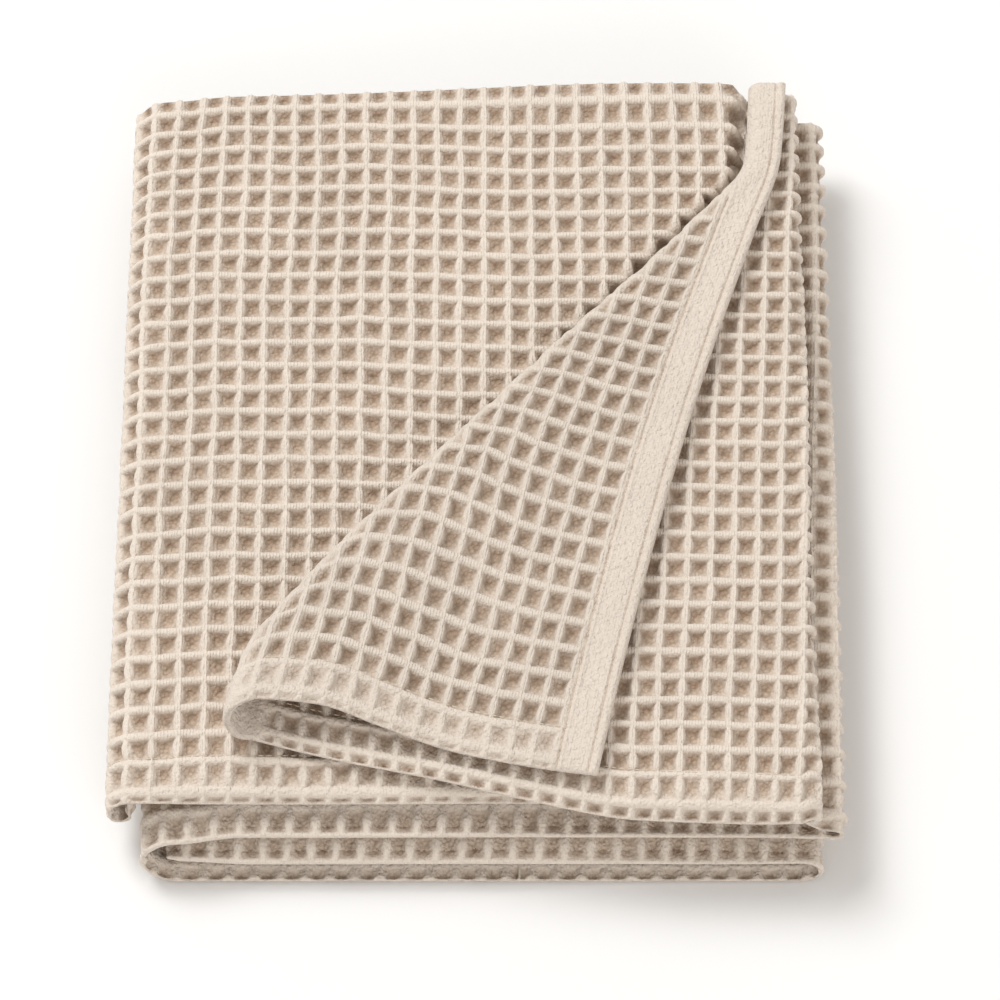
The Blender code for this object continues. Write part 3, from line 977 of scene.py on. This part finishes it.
# %% [markdown]
# ## Materials
# The cotton is unbleached: pale on the ribs and browner in the pits.  The brown grows with
# depth, partly the cloth's own colour and partly painted shade of the recesses, and it is
# darkest as painted shade under the rib at the back of each pit.  Its yarns are finer than
# the mesh, so they are bump: knots in the pits, strands along the ribs, and a fuzz of
# fibres over all, with painted shade in the gaps between the knots.  The flap's copy of
# the cotton is darker, as painted shade.  The pattern reads the place in the weave from
# the mesh, and so follows each fold.

# %% Formulas as nodes
class Node:
    """An output of a shader node, with Python's own arithmetic."""

    def __init__(self, material, kind, settings=None, values=None, output=0):
        tree = material.node_tree
        node = tree.nodes.new("ShaderNode" + kind)
        for name, value in (settings or {}).items():
            setattr(node, name, value)
        for name, value in (values or {}).items():
            if isinstance(value, Node):
                tree.links.new(value.socket, node.inputs[name])
            else:
                node.inputs[name].default_value = value
        self.material, self.socket = material, node.outputs[output]

    def math(self, operation, *others, first=None):
        """A Math node, with this value first unless another one is."""
        values = (self,) + others if first is None else (first, self)
        return Node(self.material, "Math", {"operation": operation}, dict(enumerate(values)))

    def __add__(self, other):
        return self.math("ADD", other)

    __radd__ = __add__

    def __sub__(self, other):
        return self.math("SUBTRACT", other)

    def __rsub__(self, other):
        return self.math("SUBTRACT", first=other)

    def __mul__(self, other):
        return self.math("MULTIPLY", other)

    __rmul__ = __mul__

    def wave(self, length):
        """A smooth wave from -1 to 1."""
        return (self * (2 * math.pi / length)).math("SINE")

    def steps_up(self, low, high):
        """0 below low, 1 above high, smooth between."""
        settings = {"interpolation_type": "SMOOTHSTEP"}
        values = {"Value": self, "From Min": low, "From Max": high}
        return Node(self.material, "MapRange", settings, values)


def blend(share, first, second):
    """A colour between two."""
    return Node(share.material, "Mix", {"data_type": "RGBA"}, {0: share, 6: first, 7: second}, 2)


def new_material(name, roughness):
    """A material with its shader's fixed values set."""
    material = bpy.data.materials.new(name)
    material.use_nodes = True
    shader = material.node_tree.nodes["Principled BSDF"]
    shader.inputs["Roughness"].default_value = roughness
    shader.inputs["Specular IOR Level"].default_value = 0.2
    shader.inputs["Sheen Weight"].default_value = 0.25
    shader.inputs["Sheen Roughness"].default_value = 0.5
    return material, shader


# %% Cotton
RIB_COLOUR = (0.785, 0.695, 0.605, 1)
# the pits' colour: partly the cloth's own browner colour, partly painted shade that darkens them with depth
PIT_COLOUR_AND_SHADE = (0.57, 0.45, 0.35, 1)
PAINTED_SHADE_COLOUR = (0.32, 0.215, 0.145, 1)  # painted shade under the rib at the back of a pit
FLAP_PAINTED_SHADE = 0.93  # painted shade: the flap's copy of the cotton is darker
PIT_HEIGHTS = (-2.2, 1.7)  # between these the pit's colour, partly painted shade, turns to the ribs'
PAINTED_SHADE_PLACES = (0.3, 0.85)  # and between these, in cells, to the painted shade at its back
STRAND = 1.4  # width of a strand of the ribs
SOFT_SPOTS, GRAIN, YARNS, FIBRES = 30.0, 420.0, 560.0, 900.0  # how many to a metre


def cotton(name, painted_shade_tone):
    """Natural cotton, by place in the weave, dimmed by its second argument as painted shade.  The numbers
    in its sums are shares and mm.
    """
    material, shader = new_material(name, 0.9)
    link = material.node_tree.links.new
    weave = Node(material, "Attribute", {"attribute_name": "weave"}, output="Vector")
    hem = Node(material, "Attribute", {"attribute_name": "hem"}, output="Fac")
    place = Node(material, "TexCoord", output="Object")
    across, down, high = (
        Node(material, "SeparateXYZ", {}, {0: weave}, output=axis) for axis in "XYZ")
    soft_spots, fibres, grain = (
        Node(material, "TexNoise", {}, {"Vector": place, "Scale": scale, "Detail": detail}) - 0.5
        for scale, detail in ((SOFT_SPOTS, 3.0), (FIBRES, 4.0), (GRAIN, 2.0)))
    yarns = Node(material, "TexVoronoi", {}, {"Vector": place, "Scale": YARNS})

    # in_pit darkens the pits with depth: partly the cloth's own colour, partly painted shade of the
    # recesses
    in_pit = 1 - (high + grain * 1.4).steps_up(*PIT_HEIGHTS)
    # painted shade: darker towards the rib at the back of each pit
    painted_shade_at_back = (down + grain * 0.25).math("FRACT").steps_up(*PAINTED_SHADE_PLACES)
    colour = blend(in_pit * painted_shade_at_back, blend(in_pit, RIB_COLOUR, PIT_COLOUR_AND_SHADE), PAINTED_SHADE_COLOUR)
    # painted shade in the gaps between the knots of yarn in the pits
    shaded_gaps = in_pit * (0.42 - yarns) * 0.55
    # the last term dims the flap's copy of the cotton as painted shade
    spots = soft_spots * 0.14 + fibres * 0.2 + shaded_gaps + painted_shade_tone
    colour = Node(material, "VectorMath", {"operation": "SCALE"}, {0: colour, "Scale": spots})
    link(colour.socket, shader.inputs["Base Color"])

    strands = (across * CELL_WIDTH + grain * 1.2).wave(STRAND) * (1 - in_pit) * (0.12 - hem * 0.08)
    knots = yarns * (in_pit * 0.6 + hem * 0.3 + 0.25)
    relief = fibres * 0.55 + grain * (0.5 + hem * 0.6) + strands - knots
    bump = Node(material, "Bump", {}, {"Height": relief, "Distance": MM, "Strength": 1.0})
    link(bump.socket, shader.inputs["Normal"])
    return material


def thread_cotton():
    """The sewing thread: the same cotton, twisted tight, and darker, partly as painted shade of its
    grooves.
    """
    material, shader = new_material("thread", 0.7)
    # darker than the cloth: partly painted shade of the grooves the stitches lie in
    shader.inputs["Base Color"].default_value = (0.62, 0.52, 0.41, 1)
    return material


# the flap gets a darker copy of the cotton, as painted shade
cotton_material, shaded_flap_material = cotton("cotton", 1.0), cotton("cotton_flap_shaded", FLAP_PAINTED_SHADE)
for piece in cloth:
    piece.data.materials.append(shaded_flap_material if piece is cloth[0] else cotton_material)
thread.data.materials.append(thread_cotton())

# %% [markdown]
# ## Surface and light
# The blanket lies on a plain white surface.  A large soft lamp stands behind it to the
# left and high up, so each pit is dark along its upper left walls.  A weak one in front
# lights the edges of the layers, and the pale room fills the shadows.

# %% Surface and light
def aimed(place, target=(0, 0, 0.03)):
    """The rotation of a lamp that shines from its place at a target."""
    away = np.array(place) - np.array(target)
    flat = math.hypot(away[0], away[1])
    return (math.atan2(flat, away[2]), 0, math.atan2(away[1], away[0]) + math.pi / 2)


def area_lamp(name, place, size, power, colour=(1, 1, 1)):
    """A soft square lamp, aimed at the pile."""
    bpy.ops.object.light_add(type="AREA", location=place, rotation=aimed(place))
    lamp = bpy.context.object
    lamp.name = name
    lamp.data.size = size
    lamp.data.energy = power
    lamp.data.color = colour


def surface():
    """The plain surface that the blanket lies on."""
    bpy.ops.mesh.primitive_plane_add(size=8)
    floor = bpy.context.object
    floor.name = "surface"
    material, shader = new_material("surface", 0.9)
    shader.inputs["Base Color"].default_value = (0.9, 0.9, 0.9, 1)
    shader.inputs["Sheen Weight"].default_value = 0.0
    floor.data.materials.append(material)


ROOM_COLOUR, ROOM_LIGHT = (1, 0.955, 0.905, 1), 0.58
surface()
area_lamp("key", (-2.1, 2.0, 3.95), 2.2, 166, (0.975, 0.99, 1.0))
area_lamp("fill", (1.2, -3.2, 1.7), 2.6, 34, (1.0, 0.985, 0.965))
world = bpy.data.worlds.new("studio")
world.use_nodes = True
room = world.node_tree.nodes["Background"].inputs
room["Color"].default_value = ROOM_COLOUR
room["Strength"].default_value = ROOM_LIGHT
bpy.context.scene.world = world
bpy.context.scene.view_settings.view_transform = "Standard"
deselect()

# %% [markdown]
# ## The pieces on the body
# Every piece rides on the one body, and the solid blanket of the frame is hidden.  The six
# cloth pieces are one strip, 0.386 m wide, so each one's share of it is printed, from its
# flat area, that of its middle surface.

# %% Attach and print
CLOTH_WIDTH = 0.386
for piece in cloth + [thread]:
    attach(piece, "root")
    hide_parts("blanket")
for piece, area in made:
    size = (round(area / CLOTH_WIDTH, 3), CLOTH_WIDTH)
    print(piece.name, "flat", size)
